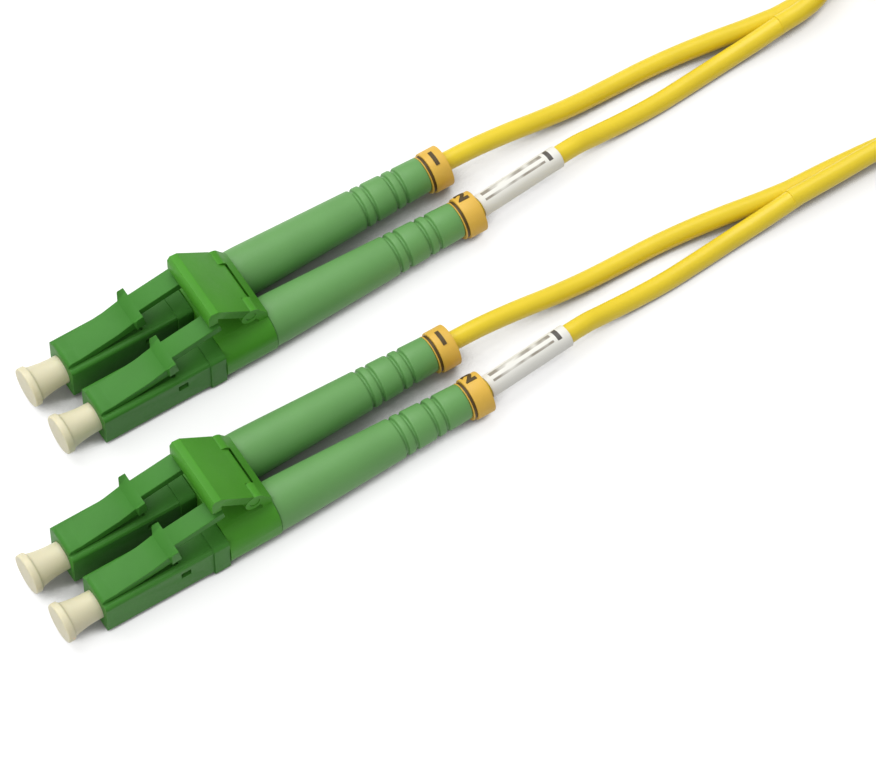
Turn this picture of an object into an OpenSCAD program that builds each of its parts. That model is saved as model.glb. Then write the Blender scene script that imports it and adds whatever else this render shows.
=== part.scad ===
// Duplex LC/APC patch cord: two plug pairs joined by one metre of twin (zip) cord.
// Each plug pair points towards -X, its cord leaves towards +X, and the latches face +Z.
// A plug is drawn along X round its own axis, with the front face of its housing at x = 0.

/* [Plug housing] */
// Width and height of the square front body
body_w = 4.52; // [4.4:0.02:4.7]
// Length of the front body, from its front face to the clip
body_l = 13.7; // [13:0.1:15]
// Radius of the long edges of the body
body_r = 0.45; // [0.2:0.05:0.6]
// Width of the square tail that the clip holds
tail_w = 3.6; // [3.5:0.05:3.7]
// Length of that tail
tail_l = 4.25; // [3.5:0.05:4.6]
// Width and height of the thicker rear end of the body
rear_w = 4.88; // [4.7:0.02:5]
// Length of that rear end
rear_l = 1.7; // [1.2:0.1:2.4]
// Length of the slope in front of it
rear_slope_l = 0.6; // [0.3:0.1:0.8]
// Length of the small window in each side of the body
window_l = 1.1; // [0.8:0.1:1.4]
// Height of that window
window_h = 0.9; // [0.6:0.1:1]
// Place of the window's middle behind the front face
window_x = 8.9; // [8:0.1:9.5]
// Height of the window's middle over the plug axis
window_z = 0.8; // [0.5:0.1:0.9]
// Diameter of the front bore round the ferrule
front_bore_d = 3.1; // [3:0.02:3.2]
// Depth of the front bore
front_bore_l = 3.6; // [3.2:0.1:4]
// Thickness of the wall behind the front bore
web_t = 0.8; // [0.6:0.1:1]
// Hole for the ferrule in that wall
web_hole_d = 1.6; // [1.5:0.05:1.8]
// Diameter of the spring chamber behind the wall
chamber_d = 3.0; // [2.95:0.01:3.1]
// Distance between the two plug axes of a pair
pitch = 6.25; // [6.1:0.05:6.8]

/* [Latch arm] */
// Width of the arm from its root to its lugs
latch_w = 3.0; // [2.6:0.05:3.1]
// Width of the narrow tail behind the lugs
latch_tail_w = 2.1; // [1.6:0.1:2.4]
// Thickness of the arm
latch_t = 1.0; // [0.8:0.05:1.1]
// Place of the arm's root behind the front face
latch_root_x = 1.3; // [1.2:0.05:1.6]
// Height of the arm's root over the plug axis
latch_root_z = 2.3; // [2.25:0.01:2.5]
// How much shorter the latch arm is than the housing
latch_short = 0.5; // [0.3:0.05:0.6]
// Slope of the arm at rest
latch_rise = 10.5; // [9:0.5:12]
// Way along the arm to the middle of the locking lugs
lug_at = 7.0; // [6:0.1:7.5]
// Length of a lug along the arm
lug_l = 1.1; // [0.8:0.1:1.8]
// Width over both lugs
lug_span = 3.9; // [3.6:0.1:4.4]
// Height of a lug over the arm
lug_h = 1.2; // [0.5:0.1:1.3]
// Rise of the ramp between the lugs, from the arm to its tail
ramp_h = 1.1; // [0.9:0.05:1.15]
// Length of the ramp
ramp_l = 3.0; // [1.6:0.1:3.6]

/* [Ferrule and spring] */
// Diameter of the ceramic ferrule
ferrule_d = 1.25; // [1.25:0.001:1.26]
// Length of the ferrule
ferrule_l = 6.55; // [6.3:0.05:6.8]
// How far the ferrule stands out of the housing
ferrule_out = 0.35; // [0.2:0.05:0.6]
// Angle of the polished end
polish_angle = 8; // [0:1:9]
// Diameter over the corners of the metal collar
collar_d = 2.8; // [2.6:0.05:2.85]
// Length of the collar
collar_l = 1.2; // [1:0.1:1.4]
// Diameter of the tube behind the collar
tube_d = 1.9; // [1.8:0.05:1.95]
// Length of that tube
tube_l = 3.05; // [2:0.05:4]
// Diameter of the spring wire
wire_d = 0.34; // [0.3:0.01:0.36]
// Turns of the spring
spring_turns = 6; // [4:1:7]

/* [Rear body and crimp] */
// Length of the spigot inside the housing
spigot_l = 5.75; // [5:0.05:6.2]
// Diameter of the flange behind the housing
flange_d = 3.9; // [3.7:0.05:4]
// Diameter of the barb under the crimp sleeve
barb_d = 3.0; // [2.9:0.05:3.1]
// Length of the barb behind the clip
barb_l = 3.9; // [3:0.1:4.2]
// Bore for the buffered fibre
fibre_bore_d = 1.2; // [1.1:0.05:1.4]
// Wall of the crimp sleeve
crimp_t = 0.3; // [0.2:0.05:0.35]
// Length of the wide part of the crimp sleeve
crimp_l = 4.5; // [4.2:0.1:4.8]
// Length of its narrow part on the jacket
crimp_neck_l = 2.0; // [1.5:0.1:2.4]

/* [Boot] */
// Length of the boot
boot_l = 22.3; // [20:0.1:25]
// Diameter at the clip
boot_front_d = 5.2; // [4.9:0.05:5.25]
// Diameter at the rear end
boot_end_d = 3.75; // [3.4:0.05:3.9]
// Length of the straight part behind the clip
boot_straight_l = 1.5; // [1:0.1:3]
// Width of a groove
groove_w = 0.4; // [0.3:0.05:0.5]
// Depth of a groove
groove_deep = 0.3; // [0.2:0.05:0.35]
// Distance between the two grooves of a group
groove_gap = 1.15; // [1:0.05:1.4]
// Distance from the rear end to the middle of each group of two grooves
groove_groups = [3.4, 7.0]; // [2.5:0.1:12]

/* [Dust cap] */
// Diameter of the grip disc
cap_d = 4.2; // [4:0.05:4.4]
// Thickness of the grip disc
cap_disc_t = 0.8; // [0.6:0.1:1.2]
// Diameter of the flare behind the disc
cap_flare_d = 3.8; // [3.3:0.05:4]
// Length that stands out of the housing
cap_out = 4.1; // [3.8:0.1:4.5]
// Depth to which the cap enters the housing
cap_in = 2.9; // [2.4:0.1:3.1]

/* [Clip and trigger] */
// Length of the clip body
clip_l = 5.75; // [5.5:0.05:6.2]
// Width of the clip body
clip_w = 11.4; // [11.2:0.05:11.8]
// Height of the clip body
clip_h = 5.3; // [5.2:0.05:5.6]
// Radius of its long edges
clip_r = 2.2; // [1.6:0.05:2.4]
// Thickness of the shoulder that holds the rear bodies
shoulder_t = 1.5; // [1.2:0.05:1.7]
// Thickness of the sloping strap at the rear of the clip
strap_t = 1.0; // [0.8:0.05:1.2]
// Height of the strap's rear edge over the plug axes
strap_z = 3.5; // [3.3:0.1:3.8]
// Place of the trigger's pivot behind the front of the clip
pivot_x = 3.85; // [3.7:0.05:4]
// Height of the pivot over the plug axes
pivot_z = 4.4; // [4.3:0.05:4.6]
// Diameter of the trigger's pivot pins
pivot_d = 1.0; // [0.8:0.05:1.1]
// Wall of the knuckles round the pins
knuckle_t = 0.5; // [0.4:0.05:0.6]
// Width of the trigger plate
trigger_w = 7.9; // [7.4:0.1:8.2]
// Width of the trigger's barrel, between the knuckles
barrel_w = 4.4; // [3.8:0.1:4.8]
// Wall of the barrel round the pin
barrel_t = 0.35; // [0.3:0.05:0.4]
// How far the plate reaches ahead of the pivot
trigger_reach = 4.7; // [4.5:0.05:4.9]
// Slope of the plate
trigger_rise = 40.5; // [38:0.5:43]
// Thickness of the plate
trigger_t = 1.0; // [0.8:0.05:1.1]
// Height of the plate's front face
trigger_face = 1.9; // [1.5:0.1:2.2]
// Clearance between the trigger's rib and the latch tails
press_gap = 0.3; // [0.25:0.05:0.4]

/* [Marker ring and label] */
// Outer diameter of the marker ring
ring_d = 4.4; // [4.2:0.05:4.5]
// Length of the marker ring
ring_l = 2.4; // [2:0.1:2.8]
// Bore of the marker ring
ring_bore_d = 2.8; // [2.6:0.05:3]
// Width of the groove behind the ring's front rim
ring_groove_w = 0.3; // [0.2:0.05:0.4]
// Length of the label sleeve
label_l = 9.9; // [8:0.1:10.2]
// Wall of the label sleeve
label_t = 0.15; // [0.1:0.01:0.2]

/* [Cord] */
// Diameter of one jacket
jacket_d = 2.0; // [1.9:0.05:2]
// Distance between the two jackets of the joined cord
twin_pitch = 2.1; // [2.05:0.05:2.15]
// Diameter of the buffered fibre
buffer_d = 0.9; // [0.85:0.01:0.95]
// Turns in the coil, from where the cord runs in to where it runs out
coil_turns = 8; // [6:1:8]
// Radius of the coil's outermost turn
coil_r = 21.2; // [21:0.1:23]
// Clear distance between neighbouring turns
turn_gap = 0.45; // [0.42:0.01:0.5]
// Width of each tie
tie_w = 6; // [4:0.5:8]
// Thickness of each tie
tie_t = 0.55; // [0.4:0.05:0.6]

/* [Layout] */
// How far the near plug pair lies behind the far one
pair_back = 10.4; // [8:0.1:12]
// Distance between the middles of the two plug pairs, side by side
pair_apart = 17.8; // [17:0.1:20]

/* [Fits] */
// Clearance of running fits, on the radius
fit = 0.05; // [0.03:0.01:0.08]
// Clearance of the dust cap on the ferrule, on the radius
cap_fit = 0.035; // [0.02:0.005:0.05]
// Clearance between faces that meet
face_gap = 0.05; // [0.02:0.01:0.06]

/* [Hidden] */
ENDS = ["1", "2"];
CHANNELS = ["a", "b"];
PLUG_PARTS = ["housing", "latch", "ferrule", "flange", "spring", "rear_body",
              "crimp_sleeve", "boot", "dust_cap", "marker_ring", "fibre", "cord_leg"];
END_PARTS = ["clip_body", "trigger", "label", "zip_cord"];

$fn = 64;
SMALL_FN = 32;
OVER = 1;                 // how far a cutting shape runs past the face it cuts

PLUG_GREEN = [0.30, 0.58, 0.24];
CLIP_GREEN = [0.36, 0.63, 0.25];
BOOT_GREEN = [0.45, 0.66, 0.38];
CAP_IVORY = [0.87, 0.84, 0.75];
CORD_YELLOW = [0.92, 0.80, 0.18];
RING_YELLOW = [0.88, 0.67, 0.28];
METAL = [0.78, 0.78, 0.80];
CERAMIC = [0.96, 0.96, 0.95];
PAPER = [0.85, 0.84, 0.80];
TIE_BLACK = [0.12, 0.12, 0.13];

// Places along the plug axis
chamber_x = front_bore_l + web_t;
collar_x = chamber_x + face_gap;
tube_x = collar_x + collar_l;
ferrule_end_x = ferrule_l - ferrule_out;
tail_end_x = body_l + tail_l;
spigot_x = tail_end_x - spigot_l;
clip_x = body_l + face_gap;
clip_end_x = clip_x + clip_l;
shoulder_x = clip_end_x - shoulder_t;
barb_end_x = clip_end_x + barb_l;
crimp_x = clip_end_x + 0.2;
crimp_step_x = crimp_x + crimp_l;
crimp_end_x = crimp_step_x + crimp_neck_l;
boot_x = clip_end_x + face_gap;
boot_end_x = boot_x + boot_l;
ring_x = boot_end_x + face_gap;
plug_end_x = ring_x + ring_l;
jacket_x = barb_end_x + 0.6;

// The fibre stops behind the ferrule by the ferrule's float and a little more
ferrule_float = 0.6;
fibre_x = ferrule_end_x + ferrule_float + 0.15;

// Each plug pair stands with its clip on the ground
axis_z = clip_h / 2;
// The two plug pairs lie side by side and one behind the other, round the origin
pair_step = [pair_back, pair_apart];
plug_middle_x = (plug_end_x - cap_out) / 2;
function end_place(e) = (e == "1" ? 1 : -1) * pair_step / 2 - [plug_middle_x, 0];
function channel_y(c) = (c == "a" ? 1 : -1) * pitch / 2;

// Latch and trigger
latch_l = body_l - latch_short;
latch_top_h = latch_t / 2 + ramp_h;
latch_tail_x = latch_root_x + latch_l * cos(latch_rise) - latch_top_h * sin(latch_rise);
function latch_top(x) = latch_root_z + latch_top_h / cos(latch_rise) + (x - latch_root_x) * tan(latch_rise);
trigger_pivot_x = clip_x + pivot_x;
trigger_x = trigger_pivot_x - trigger_reach;
barrel_r = pivot_d / 2 + barrel_t;
knuckle_r = pivot_d / 2 + fit + knuckle_t;
hinge_gap = 2 * fit;

// ---------------------------------------------------------------- shared shapes

// A rectangle with round corners, made of true arcs
module round_rect(w, h, r) {
    square([w - 2 * r, h], center = true);
    square([w, h - 2 * r], center = true);
    for (x = [-1, 1], y = [-1, 1])
        translate([x * (w / 2 - r), y * (h / 2 - r)]) circle(r, $fn = SMALL_FN);
}

// A bar along X from x0 to x1 whose section is the given 2-D shape in Y and Z
module bar(x0, x1) {
    translate([x0, 0, 0]) rotate([90, 0, 90]) linear_extrude(x1 - x0) children();
}

// A plate across Y whose side view is the given 2-D shape in X and Z
module plate(w) {
    rotate([90, 0, 0]) translate([0, 0, -w / 2]) linear_extrude(w) children();
}

// A round bar across Y at a place in X and Z
module across(place, l, d) {
    translate([place[0], 0, place[1]]) rotate([90, 0, 0]) cylinder(h = l, d = d, center = true);
}

// A rod along X from x0 to x1
module rod(x0, x1, d) {
    translate([x0, 0, 0]) rotate([0, 90, 0]) cylinder(h = x1 - x0, d = d);
}

// A turned piece along X, from points [radius, x]
module turned(points) {
    rotate([0, 90, 0]) rotate_extrude() polygon(points);
}

// A tube swept along rings of points, closed by two flat ends; faces are triangles
module sweep(rings) {
    n = len(rings[0]);
    last = (len(rings) - 1) * n;
    sides = [for (k = [0 : len(rings) - 2], i = [0 : n - 1])
        let (a = k * n + i, b = k * n + (i + 1) % n)
        each [[a, b + n, b], [a, a + n, b + n]]];
    near_end = [for (i = [1 : n - 2]) [0, i, i + 1]];
    far_end = [for (i = [1 : n - 2]) [last, last + i + 1, last + i]];
    polyhedron([for (r = rings) each r], concat(sides, near_end, far_end));
}

function unit(v) = v / norm(v);

// Direction of travel at point i of a route
function heading(p, i) = unit(p[min(i + 1, len(p) - 1)] - p[max(i - 1, 0)]);

// The section laid across a route at one point. The section's first axis lies level when
// twist is 0 and stands upright when it is 90.
function ring_at(place, ahead, twist, section) =
    let (level = unit(cross([0, 0, 1], ahead)), up = cross(ahead, level),
         u = level * cos(twist) + up * sin(twist), v = up * cos(twist) - level * sin(twist))
    [for (s = section) place + u * s[0] + v * s[1]];

// A ring of n points on a circle
function ring(n, d) = [for (i = [0 : n - 1]) d / 2 * [cos(360 * i / n), sin(360 * i / n)]];

// Section of the joined cord: flat, as wide as its two jackets
twin_w = twin_pitch + jacket_d;
flat_w = twin_w / 2 - jacket_d / 5;
function flat_section(corner) =
    let (w = twin_w / 2, h = jacket_d / 2)
    corner ? [[w, 0], [flat_w, h], [-flat_w, h], [-w, 0], [-flat_w, -h], [flat_w, -h]]
           : [[w, h / 2], [flat_w, h], [-flat_w, h], [-w, h / 2],
              [-w, -h / 2], [-flat_w, -h], [flat_w, -h], [w, -h / 2]];

function route_length(p) = len(p) < 2 ? 0
    : [for (i = 0, d = 0; i < len(p); d = d + (i < len(p) - 1 ? norm(p[i + 1] - p[i]) : 0), i = i + 1) d]
      [len(p) - 1];

// ---------------------------------------------------------------- cord routes

lie = jacket_d / 2 + 0.02;          // height of a jacket's middle where it lies on the ground

// Legs of end 1, from the ring to the place where the two jackets join
LEG_A = [[29.45, 12.025, axis_z], [33, 12.0, 2.5], [37, 11.85, 2.1], [41, 11.6, 1.6], [45, 11.45, 1.2],
         [49, 11.4, lie], [53, 11.3, lie], [57, 11.0, lie], [61, 10.5, lie], [64.5, 9.95, lie],
         [68, 9.504, lie]];
LEG_B = [[29.45, 5.775, axis_z], [29.7, 5.8, 2.65], [35.2, 6.3, 2.5], [41.3, 6.855, 2.334], [44, 7.05, 1.8],
         [48, 7.15, 1.25], [52, 7.25, lie], [56, 7.5, lie], [60, 7.75, 1.15], [64, 7.8, 1.72],
         [68, 7.896, 2.37]];

// Joined cord of each end, from its legs to the coil: [x, y, z, twist]. The near jacket lies over
// the far one at the split, and the cord goes on turning until it stands on edge.
SPLIT = [68, 8.7, 1.695, -40];
ZIP_1 = [SPLIT, [70, 8.75, 1.77, -44], [72, 9.1, 1.84, -50], [74.5, 10.2, 1.97, -60],
         [77, 12.1, 2.15, -70], [80, 14.8, 2.4, -80], [82.2, 16.6, 2.6, -87], [83.94, 17.76, 2.65, -90]];
ZIP_2 = [SPLIT - [pair_back, pair_apart, 0, 0], [62, -9.2, 1.78, -46], [66, -9.35, 1.92, -55],
         [69, -9.6, 2.12, -62], [72, -10.1, 2.7, -68], [75, -10.95, 3.9, -74], [78, -12.15, 5.5, -80],
         [81, -13.5, 6.8, -86], [83.94, -14.96, 7.2, -90]];

// The coil lies on its two ties. The cord runs in on the lower layer, winds inwards, climbs in the
// half turn where the spiral turns back, and winds out again on the upper layer.
COIL_MIDDLE = [98, 1.4];
RUN_IN = 120;                       // angle at which the cord joins the coil
LEAD = 4;                           // straight stretch at each end of the coil
RINGS_PER_TURN = 24;
CLIMB = 0.4;                        // share of a turn in which the cord climbs a layer
turns = coil_turns + RUN_IN / 180;
turn_step = jacket_d + turn_gap;
layer_step = twin_w + turn_gap;
coil_low_z = twin_w / 2 + tie_t + face_gap;
coil_high_z = coil_low_z + layer_step;

function smooth(s) = let (t = min(max(s, 0), 1)) t * t * (3 - 2 * t);
function coil_radius(t) = coil_r - turn_step * min(t, turns - t);
function coil_angle(t) = RUN_IN - 360 * t;
function coil_z(t) = coil_low_z + layer_step * smooth((t - turns / 2) / CLIMB + 0.5);
function coil_point(t) = [COIL_MIDDLE[0] + coil_radius(t) * cos(coil_angle(t)),
                          COIL_MIDDLE[1] + coil_radius(t) * sin(coil_angle(t)), coil_z(t)];
function clockwise(angle) = [sin(angle), -cos(angle), 0];

coil_steps = round(turns * RINGS_PER_TURN);
coil_line = [for (k = [0 : coil_steps]) coil_point(k * turns / coil_steps)];
coil_in = coil_line[0] - LEAD * clockwise(RUN_IN);
coil_out = coil_line[coil_steps] + LEAD * clockwise(-RUN_IN);
coil_route = concat([coil_in], coil_line, [coil_out]);
coil_headings = [for (i = [0 : len(coil_route) - 1])
    i <= 1 ? clockwise(RUN_IN)
    : i >= len(coil_route) - 2 ? clockwise(-RUN_IN) : heading(coil_route, i)];
coil_rings = [for (i = [0 : len(coil_route) - 1])
    ring_at(coil_route[i], coil_headings[i], 90, flat_section(true))];

// ---------------------------------------------------------------- pieces of one plug

module housing() color(PLUG_GREEN) difference() {
    union() {
        bar(0, body_l) round_rect(body_w, body_w, body_r);
        bar(body_l - OVER, tail_end_x) round_rect(tail_w, tail_w, body_r / 2);
        // thicker rear end behind a short slope
        bar(body_l - rear_l, body_l) round_rect(rear_w, rear_w, body_r);
        intersection() {
            plate(rear_w) rear_slope();
            rotate([90, 0, 0]) plate(rear_w) rear_slope();
        }
        // nose in front of the latch root, with a round front edge
        plate(latch_w) {
            translate([body_r, body_w / 2 - body_r])
                square([latch_root_x - body_r, latch_nose_z - body_w / 2 + body_r]);
            translate([0, body_w / 2 - 2 * body_r]) square([latch_root_x, nose_front_z - body_w / 2 + 2 * body_r]);
            translate([nose_r, nose_front_z]) circle(nose_r, $fn = SMALL_FN);
        }
    }
    rod(-OVER, front_bore_l, front_bore_d);
    rod(front_bore_l - OVER, chamber_x + OVER, web_hole_d);
    rod(chamber_x, tail_end_x + OVER, chamber_d);
    translate([window_x, 0, window_z]) cube([window_l, rear_w + OVER, window_h], center = true);
    // groove that the latch root turns in, and the trough under the arm
    translate([latch_root_x, 0, latch_root_z]) rotate([90, 0, 0])
        cylinder(h = latch_w + 2 * fit, d = latch_t + 2 * fit, center = true);
    translate([latch_root_x, -latch_w / 2 - fit, trough_z])
        cube([trough_l, latch_w + 2 * fit, body_w]);
}
module rear_slope()
    let (x = body_l - rear_l, w = body_w / 2 - body_r, h = rear_w / 2)
    polygon([[x - rear_slope_l, w], [x - rear_slope_l, -w], [x, -h + body_r / 2], [x, h - body_r / 2]]);
nose_r = 0.45;
latch_nose_z = latch_root_z + latch_t / 2;
nose_front_z = latch_nose_z - nose_r;
trough_z = latch_root_z - latch_t / 2 - fit;
trough_l = 7.2;

// The arm is wide up to its lugs. A ramp between them leads up to the narrow tail.
module latch() color(PLUG_GREEN)
    let (h = latch_t / 2, front = lug_at - lug_l / 2, end = lug_at + lug_l / 2)
    translate([latch_root_x, 0, latch_root_z]) rotate([0, -latch_rise, 0]) {
        rotate([90, 0, 0]) cylinder(h = latch_w, d = latch_t, center = true, $fn = SMALL_FN);
        plate(latch_w) polygon([[0, -h], [end, -h], [end, latch_top_h],
                                [end - RAMP_BEND[0] * ramp_l, h + RAMP_BEND[1] * ramp_h],
                                [end - ramp_l, h], [0, h]]);
        plate(lug_span) polygon([[front, 0], [end, 0], [end, h + lug_h], [front + LUG_LEAN, h + lug_h], [front, h]]);
        translate([lug_at, -latch_tail_w / 2, ramp_h - h]) cube([latch_l - lug_at, latch_tail_w, latch_t]);
    }
LUG_LEAN = 0.35;          // how far the lugs' front leans back
RAMP_BEND = [0.4, 0.3];   // place of the ramp's bend: before the lugs and up, as shares of the ramp

// The polished face leans over the plug axis by polish_angle
module ferrule() {
    cut = 4 * ferrule_d;
    color(CERAMIC) difference() {
        rod(-ferrule_out - ferrule_d, ferrule_end_x, ferrule_d);
        translate([-ferrule_out, 0, 0]) rotate([0, -polish_angle, 0])
            translate([-cut, -cut / 2, -cut / 2]) cube(cut);
    }
}

module flange() color(METAL) difference() {
    union() {
        rotate([0, 90, 0]) translate([0, 0, collar_x]) cylinder(h = collar_l, d = collar_d, $fn = 6);
        rod(tube_x - 0.01, tube_x + tube_l, tube_d);
    }
    rod(collar_x - OVER, ferrule_end_x, ferrule_d + 0.02);
    rod(ferrule_end_x - OVER, tube_x + tube_l + OVER, buffer_d + 2 * fit);
}

module spring() {
    SIDES = 6;
    RINGS = 8;
    r = (tube_d + 2 * fit + wire_d) / 2 + 0.03;
    x0 = tube_x + face_gap + wire_d / 2;
    x1 = spigot_x - face_gap - wire_d / 2;
    steps = RINGS * spring_turns;
    function along(k) = let (a = 360 * k / RINGS) [x0 + (x1 - x0) * k / steps, r * cos(a), r * sin(a)];
    function ahead(k) = unit(along(k + 0.5) - along(k - 0.5));
    color(METAL) sweep([for (k = [0 : steps])
        let (a = 360 * k / RINGS, out = [0, cos(a), sin(a)], side = cross(ahead(k), out))
        [for (s = ring(SIDES, wire_d)) along(k) + out * s[0] + side * s[1]]]);
}

module rear_body() color(METAL) difference() {
    union() {
        rod(spigot_x, clip_end_x, chamber_d - 2 * fit);
        rod(shoulder_x + face_gap, clip_end_x - face_gap, flange_d);
        rod(clip_end_x - OVER, barb_end_x, barb_d - 0.3);
        for (k = [0 : 3])
            translate([clip_end_x + 0.45 + k * barb_l / 4, 0, 0]) rotate([0, 90, 0])
                cylinder(h = barb_l / 4 - 0.55, d = barb_d);
    }
    rod(spigot_x - OVER, barb_end_x + OVER, fibre_bore_d);
}

module crimp_sleeve() color(METAL)
    let (a = barb_d / 2 + fit, b = jacket_d / 2 + fit)
    turned([[a, crimp_x], [a + crimp_t, crimp_x], [a + crimp_t, crimp_step_x],
            [b + crimp_t, crimp_step_x + 0.4], [b + crimp_t, crimp_end_x], [b, crimp_end_x],
            [b, crimp_step_x], [a, crimp_step_x - crimp_t]]);

// Outer radius of the boot at x
function boot_r(x) =
    let (t = (x - boot_x - boot_straight_l) / (boot_l - boot_straight_l))
    (boot_front_d + (boot_end_d - boot_front_d) * min(max(t, 0), 1)) / 2;

module boot() color(BOOT_GREEN) {
    wide = barb_d / 2 + 2 * fit + crimp_t;
    middle = jacket_d / 2 + 2 * fit + crimp_t;
    narrow = jacket_d / 2 + 1.6 * fit;
    soft = 0.35;
    grooves = [for (g = [groove_groups[1], groove_groups[0]], s = [-1, 1]) boot_end_x - g + s * groove_gap / 2];
    outside = concat(
        [[boot_front_d / 2 - soft, boot_x], [boot_front_d / 2, boot_x + soft],
         [boot_front_d / 2, boot_x + boot_straight_l]],
        [for (x = grooves) let (a = x - groove_w / 2, b = x + groove_w / 2)
            each [[boot_r(a), a], [boot_r(a) - groove_deep, a + 0.08],
                  [boot_r(b) - groove_deep, b - 0.08], [boot_r(b), b]]],
        [[boot_end_d / 2, boot_end_x - soft], [boot_end_d / 2 - soft, boot_end_x]]);
    turned(concat([[wide, boot_x]], outside,
        [[narrow, boot_end_x], [narrow, crimp_end_x + 0.6], [middle, crimp_end_x + 0.2],
         [middle, crimp_step_x + 0.7], [wide, crimp_step_x + 0.3]]));
}

module dust_cap() color(CAP_IVORY)
    let (neck = front_bore_d / 2 - fit, hole = ferrule_d / 2 + cap_fit, soft = 0.2,
         hole_end = -ferrule_out - 1.2)
    turned([[0, -cap_out], [cap_d / 2 - soft, -cap_out], [cap_d / 2, soft - cap_out],
            [cap_d / 2, cap_disc_t - cap_out - soft / 2], [cap_d / 2 - soft / 2, cap_disc_t - cap_out],
            [cap_flare_d / 2, cap_disc_t + soft / 2 - cap_out],
            for (t = [1 : 4]) [neck + (cap_flare_d / 2 - neck) * pow(1 - t / 4, 2),
                               cap_disc_t + soft / 2 - cap_out + (cap_out - cap_disc_t - 0.4) * t / 4],
            [neck, cap_in],
            [hole, cap_in], [hole, hole_end], [0, hole_end - hole / 2]]);

// The ring hangs on the jacket, with a groove behind a narrow front rim
module marker_ring() color(RING_YELLOW)
    let (r = ring_d / 2, bore = ring_bore_d / 2, rim = ring_groove_w / 2, soft = 0.2)
    translate([0, 0, jacket_d / 2 + fit - bore])
        turned([[bore, ring_x], [r - rim, ring_x], [r - rim, ring_x + rim], [r - 2 * rim, ring_x + rim],
                [r - 2 * rim, ring_x + rim + ring_groove_w], [r, ring_x + rim + ring_groove_w],
                [r, plug_end_x - soft], [r - soft, plug_end_x], [bore, plug_end_x]]);

module fibre() color(PAPER) rod(fibre_x, plug_end_x - face_gap, buffer_d);

// The jacket inside the boot and the ring, bored for the fibre, then the free leg
module cord_leg(e, c) color(CORD_YELLOW) {
    shift = e == "1" ? [0, 0, 0] : [-pair_step[0], -pair_step[1], 0];
    at_plug(e, c) difference() {
        rod(jacket_x, plug_end_x + 2 * face_gap, jacket_d);
        rod(jacket_x - OVER, plug_end_x, buffer_d + 2 * fit);
    }
    p = [for (q = c == "a" ? LEG_A : LEG_B) q + shift];
    section = ring(8, jacket_d - 0.02);
    sweep([for (i = [0 : len(p) - 1])
        ring_at(p[i], i == 0 || i == len(p) - 1 ? [1, 0, 0] : heading(p, i), 0, section)]);
}

// ---------------------------------------------------------------- pieces of one end

module clip_body() color(CLIP_GREEN) difference() {
    union() {
        bar(clip_x, clip_end_x) round_rect(clip_w, clip_h, clip_r);
        // strap that slopes up from the rear edge, with a knuckle at each end
        plate(trigger_w) {
            translate(pivot) circle(knuckle_r, $fn = SMALL_FN);
            polygon([pivot, pivot + knuckle_r * [sin(STRAP_FALL), cos(STRAP_FALL)], [clip_end_x, strap_z],
                     [clip_end_x, clip_h / 2 - SUNK], [clip_end_x - strap_t, clip_h / 2 - SUNK],
                     [clip_end_x - strap_t, strap_z - strap_t / 2]]);
        }
    }
    for (c = CHANNELS) translate([0, channel_y(c), 0]) {
        bar(clip_x - OVER, shoulder_x) round_rect(tail_w + 2 * fit, tail_w + 2 * fit, body_r / 2);
        rod(shoulder_x - OVER, clip_end_x + OVER, flange_d + 2 * fit);
    }
    // pin hole, and room for the barrel between the knuckles
    across(pivot, trigger_w + 2 * OVER, pivot_d + 2 * fit);
    translate([trigger_pivot_x - 2 * knuckle_r, -barrel_w / 2 - fit, clip_h / 2])
        cube([2 * knuckle_r + barrel_r + hinge_gap, barrel_w + 2 * fit, pivot_z]);
}
pivot = [trigger_pivot_x, pivot_z];
STRAP_FALL = 40;
SUNK = 0.3;               // how far a piece that stands on another reaches into it

module trigger() {
    crest = pivot + barrel_r * [sin(trigger_rise), cos(trigger_rise)];
    function top(x) = crest[1] + (crest[0] - x) * tan(trigger_rise);
    function under(x) = [x, top(x) - trigger_t / cos(trigger_rise)];
    knee_x = trigger_x + 1.1;
    face_low = top(knee_x) - trigger_face;
    rib_x = trigger_x + 0.3;
    rib_end_x = latch_tail_x - 0.05;
    rib_z = latch_top(rib_end_x) + press_gap;
    color(CLIP_GREEN) {
        difference() {
            plate(trigger_w) polygon([
                [trigger_x, face_low], [trigger_x, top(knee_x) - 0.4], [rib_x, top(knee_x) + 0.1],
                [knee_x, top(knee_x)], crest, pivot, under(trigger_pivot_x - barrel_r / 2), under(rib_end_x),
                [rib_end_x, rib_z], [rib_x, rib_z], [rib_x, face_low]]);
            for (s = [-1, 1]) translate([0, s * (trigger_w + barrel_w) / 4 + s * OVER / 2, 0])
                across(pivot, (trigger_w - barrel_w) / 2 + OVER, 2 * (knuckle_r + hinge_gap));
        }
        across(pivot, barrel_w, 2 * barrel_r);
        across(pivot, trigger_w - 2 * fit, pivot_d);
    }
}

module label(e) color(PAPER) {
    shift = e == "1" ? [0, 0, 0] : [-pair_step[0], -pair_step[1], 0];
    ahead = LEG_B[2] - LEG_B[1];
    yaw = atan2(ahead[1], ahead[0]);
    dip = -asin(ahead[2] / norm(ahead));
    translate(LEG_B[1] + shift) rotate([0, dip, yaw]) difference() {
        rod(0, label_l, jacket_d + 2 * fit + 2 * label_t);
        rod(-OVER, label_l + OVER, jacket_d + 2 * fit);
    }
}

// ---------------------------------------------------------------- joined cord, coil and ties

module zip_cord(p, first, last) color(CORD_YELLOW)
    let (line = [for (q = p) [q[0], q[1], q[2]]])
    sweep([for (i = [0 : len(p) - 1])
        ring_at(line[i], i == 0 ? first : i == len(p) - 1 ? last : heading(line, i), p[i][3], flat_section(false))]);

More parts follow.
